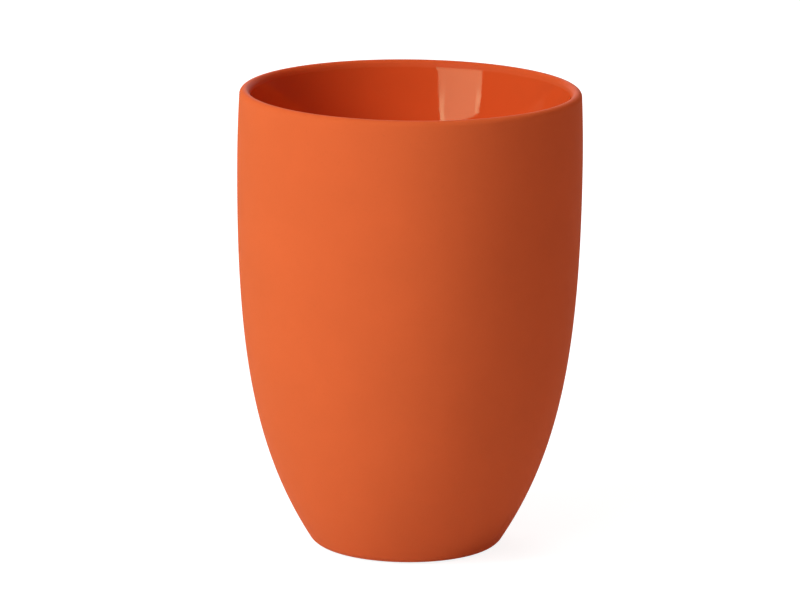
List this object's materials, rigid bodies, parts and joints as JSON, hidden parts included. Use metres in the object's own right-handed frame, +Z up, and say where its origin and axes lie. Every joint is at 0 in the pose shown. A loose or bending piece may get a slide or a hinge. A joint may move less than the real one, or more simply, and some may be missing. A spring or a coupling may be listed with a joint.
{
  "type": "double-walled mug",
  "caption": "Handleless double-walled stoneware mug, rounded from a small foot to a wide upright rim, with a glazed inner cup bonded into a matt outer shell.",
  "frame": {"origin": "centre of the foot ring, on the surface that the mug stands on", "axes": "+Z up along the axis of the mug; the mug is round, so X and Y are any two directions across it"},
  "size_m": [0.0892, 0.0892, 0.12],
  "materials": {
    "shell_matt": "matt orange coat, smooth and dry to the touch, with bare clay on the foot ring",
    "cup_glaze": "glossy red-orange glaze over the inside and the lip",
    "fired_slip": "bare fired clay",
    "plug_silicone": "soft milky silicone"
  },
  "bodies": {
    "root": {"outer_shell": "shell_matt", "inner_cup": "cup_glaze", "rim_bond": "fired_slip", "vent_plug": "plug_silicone"}
  },
  "joints": []
}
